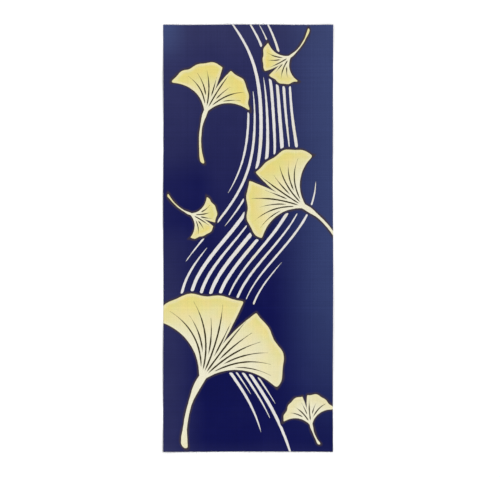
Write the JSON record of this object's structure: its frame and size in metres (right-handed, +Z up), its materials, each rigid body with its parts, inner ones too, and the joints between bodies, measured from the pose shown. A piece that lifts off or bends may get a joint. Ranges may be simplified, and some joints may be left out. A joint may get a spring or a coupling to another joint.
{
  "type": "tenugui towel",
  "caption": "Long flat hand towel of thin plain-weave cotton with woven side edges and plain cut ends, dyed navy with pale yellow and cream motifs.",
  "frame": {"origin": "on the surface that the cloth lies on, under the middle of the cloth", "axes": "+Y along the cloth's length to its top end, +X across it to the right selvedge, +Z up out of its face"},
  "size_m": [0.3586, 0.9008, 0.0046],
  "materials": {
    "dyed_cotton": "matt plain-weave cotton, dyed through, navy ground with pale yellow leaves and undyed cream lines"
  },
  "bodies": {
    "root": {"towel": "dyed_cotton"}
  },
  "joints": []
}
